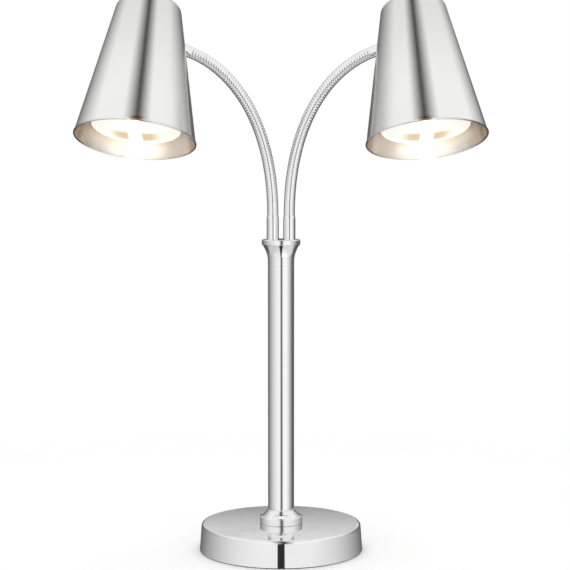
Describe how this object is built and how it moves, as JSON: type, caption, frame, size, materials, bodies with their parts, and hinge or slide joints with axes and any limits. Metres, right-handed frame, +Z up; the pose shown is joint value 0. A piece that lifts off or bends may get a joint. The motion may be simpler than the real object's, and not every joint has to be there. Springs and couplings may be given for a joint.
{
  "type": "heat lamp warmer",
  "caption": "Table-top food heat lamp: weighted round base, straight column and flexible goosenecks carrying conical brushed shades over reflector heat lamps.",
  "frame": {"origin": "centre of the round base where it rests on the table", "axes": "+Z up along the column; -Y is the front, to which both shades open; +X is to the right seen from the front"},
  "size_m": [0.5486, 0.3028, 0.7679],
  "materials": {
    "base_chrome": "mirror-polished stainless steel",
    "column_chrome": "bright chrome plate",
    "neck_chrome": "bright chrome plate on a wound flexible tube",
    "shade_metal": "spun and finely brushed around the axis",
    "hardware_steel": "zinc plated",
    "ballast_iron": "as cast",
    "pad_rubber": "matt black",
    "black_plastic": "fine moulded grain",
    "rocker_plastic": "gloss black",
    "block_plastic": "natural nylon",
    "lead_insulation": "heat-proof sleeving",
    "porcelain": "glazed porcelain",
    "socket_brass": "bright",
    "cap_brass": "bright",
    "lamp_glass": "frosted face, silvered back",
    "filament_wire": "tungsten and nickel wire"
  },
  "bodies": {
    "stand": {"base_cover": "base_chrome", "base_plate": "hardware_steel", "base_weight": "ballast_iron", "base_plate_screws": "hardware_steel", "base_pad": "pad_rubber", "tie_rod": "hardware_steel", "tie_rod_washer": "hardware_steel", "tie_rod_nut": "hardware_steel", "base_spacer": "hardware_steel", "foot_collar": "column_chrome", "column_tube": "column_chrome", "column_cap": "column_chrome", "column_leads": "lead_insulation", "neck_lock_nuts": "hardware_steel", "cord_gland": "black_plastic", "gland_nut": "black_plastic", "terminal_block": "block_plastic", "switch_leads": "lead_insulation", "left_switch_body": "black_plastic", "left_neck_lower_ferrule": "column_chrome", "right_switch_body": "black_plastic", "right_neck_lower_ferrule": "column_chrome"},
    "left_neck_1": {"left_neck_link_1": "neck_chrome"},
    "left_neck_2": {"left_neck_link_2": "neck_chrome"},
    "left_neck_3": {"left_neck_link_3": "neck_chrome"},
    "left_neck_4": {"left_neck_link_4": "neck_chrome"},
    "left_neck_5": {"left_neck_link_5": "neck_chrome"},
    "left_neck_6": {"left_neck_link_6": "neck_chrome"},
    "left_neck_7": {"left_neck_link_7": "neck_chrome"},
    "left_head": {"left_neck_upper_ferrule": "column_chrome", "left_neck_hub": "hardware_steel", "left_hub_nut": "hardware_steel", "left_shade": "shade_metal", "left_socket_bracket": "hardware_steel", "left_bracket_screws": "hardware_steel", "left_socket": "porcelain", "left_socket_shell": "socket_brass", "left_bulb_glass": "lamp_glass", "left_bulb_cap": "cap_brass", "left_filament": "filament_wire"},
    "left_rocker_body": {"left_rocker": "rocker_plastic"},
    "right_neck_1": {"right_neck_link_1": "neck_chrome"},
    "right_neck_2": {"right_neck_link_2": "neck_chrome"},
    "right_neck_3": {"right_neck_link_3": "neck_chrome"},
    "right_neck_4": {"right_neck_link_4": "neck_chrome"},
    "right_neck_5": {"right_neck_link_5": "neck_chrome"},
    "right_neck_6": {"right_neck_link_6": "neck_chrome"},
    "right_neck_7": {"right_neck_link_7": "neck_chrome"},
    "right_head": {"right_neck_upper_ferrule": "column_chrome", "right_neck_hub": "hardware_steel", "right_hub_nut": "hardware_steel", "right_shade": "shade_metal", "right_socket_bracket": "hardware_steel", "right_bracket_screws": "hardware_steel", "right_socket": "porcelain", "right_socket_shell": "socket_brass", "right_bulb_glass": "lamp_glass", "right_bulb_cap": "cap_brass", "right_filament": "filament_wire"},
    "right_rocker_body": {"right_rocker": "rocker_plastic"}
  },
  "joints": [
    {"name": "left_neck_bend", "type": "hinge", "parent": "stand", "child": "left_neck_1", "pos_m": [-0.0115, 0, 0.4717], "axis": [0.2588, -0.9659, 0], "range_deg": [-5, 12]},
    {"name": "left_neck_sway", "type": "hinge", "parent": "left_neck_1", "child": "left_neck_2", "pos_m": [-0.01319, -0.00045, 0.50912], "axis": [0.9617, 0.2577, 0.0931], "range_deg": [-12, 12]},
    {"name": "left_neck_bend_2", "type": "hinge", "parent": "left_neck_2", "child": "left_neck_3", "pos_m": [-0.01856, -0.00189, 0.54615], "axis": [0.2588, -0.9659, 0], "range_deg": [-5, 12]},
    {"name": "left_neck_sway_2", "type": "hinge", "parent": "left_neck_3", "child": "left_neck_4", "pos_m": [-0.02828, -0.0045, 0.58222], "axis": [0.9109, 0.2441, 0.3328], "range_deg": [-12, 12]},
    {"name": "left_neck_bend_3", "type": "hinge", "parent": "left_neck_4", "child": "left_neck_5", "pos_m": [-0.04302, -0.00844, 0.6164], "axis": [0.2588, -0.9659, 0], "range_deg": [-5, 12]},
    {"name": "left_neck_sway_3", "type": "hinge", "parent": "left_neck_5", "child": "left_neck_6", "pos_m": [-0.06333, -0.01389, 0.64734], "axis": [0.7428, 0.199, 0.6393], "range_deg": [-12, 12]},
    {"name": "left_neck_bend_4", "type": "hinge", "parent": "left_neck_6", "child": "left_neck_7", "pos_m": [-0.08947, -0.02089, 0.67314], "axis": [0.2588, -0.9659, 0], "range_deg": [-5, 12]},
    {"name": "left_neck_sway_4", "type": "hinge", "parent": "left_neck_7", "child": "left_head", "pos_m": [-0.12103, -0.02935, 0.69124], "axis": [0.3466, 0.0929, 0.9334], "range_deg": [-12, 12]},
    {"name": "right_neck_bend", "type": "hinge", "parent": "stand", "child": "right_neck_1", "pos_m": [0.0115, 0, 0.4717], "axis": [0.2588, 0.9659, 0], "range_deg": [-5, 12]},
    {"name": "right_neck_sway", "type": "hinge", "parent": "right_neck_1", "child": "right_neck_2", "pos_m": [0.01319, -0.00045, 0.50912], "axis": [0.9617, -0.2577, -0.0931], "range_deg": [-12, 12]},
    {"name": "right_neck_bend_2", "type": "hinge", "parent": "right_neck_2", "child": "right_neck_3", "pos_m": [0.01856, -0.00189, 0.54615], "axis": [0.2588, 0.9659, 0], "range_deg": [-5, 12]},
    {"name": "right_neck_sway_2", "type": "hinge", "parent": "right_neck_3", "child": "right_neck_4", "pos_m": [0.02828, -0.0045, 0.58222], "axis": [0.9109, -0.2441, -0.3328], "range_deg": [-12, 12]},
    {"name": "right_neck_bend_3", "type": "hinge", "parent": "right_neck_4", "child": "right_neck_5", "pos_m": [0.04302, -0.00844, 0.6164], "axis": [0.2588, 0.9659, 0], "range_deg": [-5, 12]},
    {"name": "right_neck_sway_3", "type": "hinge", "parent": "right_neck_5", "child": "right_neck_6", "pos_m": [0.06333, -0.01389, 0.64734], "axis": [0.7428, -0.199, -0.6393], "range_deg": [-12, 12]},
    {"name": "right_neck_bend_4", "type": "hinge", "parent": "right_neck_6", "child": "right_neck_7", "pos_m": [0.08947, -0.02089, 0.67314], "axis": [0.2588, 0.9659, 0], "range_deg": [-5, 12]},
    {"name": "right_neck_sway_4", "type": "hinge", "parent": "right_neck_7", "child": "right_head", "pos_m": [0.12103, -0.02935, 0.69124], "axis": [0.3466, -0.0929, -0.9334], "range_deg": [-12, 12]},
    {"name": "left_rocker_tip", "type": "hinge", "parent": "stand", "child": "left_rocker_body", "pos_m": [-0.0383, 0.10524, 0.01893], "axis": [-0.9397, -0.342, 0], "range_deg": [0, 20]},
    {"name": "right_rocker_tip", "type": "hinge", "parent": "stand", "child": "right_rocker_body", "pos_m": [0.0383, 0.10524, 0.01893], "axis": [-0.9397, 0.342, 0], "range_deg": [0, 20]}
  ],
  "couplings": [
    {"joint": "left_neck_bend_2", "follows": "left_neck_bend", "ratio": 1},
    {"joint": "left_neck_sway_2", "follows": "left_neck_sway", "ratio": 1},
    {"joint": "left_neck_bend_3", "follows": "left_neck_bend", "ratio": 1},
    {"joint": "left_neck_sway_3", "follows": "left_neck_sway", "ratio": 1},
    {"joint": "left_neck_bend_4", "follows": "left_neck_bend", "ratio": 1},
    {"joint": "left_neck_sway_4", "follows": "left_neck_sway", "ratio": 1},
    {"joint": "right_neck_bend_2", "follows": "right_neck_bend", "ratio": 1},
    {"joint": "right_neck_sway_2", "follows": "right_neck_sway", "ratio": 1},
    {"joint": "right_neck_bend_3", "follows": "right_neck_bend", "ratio": 1},
    {"joint": "right_neck_sway_3", "follows": "right_neck_sway", "ratio": 1},
    {"joint": "right_neck_bend_4", "follows": "right_neck_bend", "ratio": 1},
    {"joint": "right_neck_sway_4", "follows": "right_neck_sway", "ratio": 1}
  ]
}
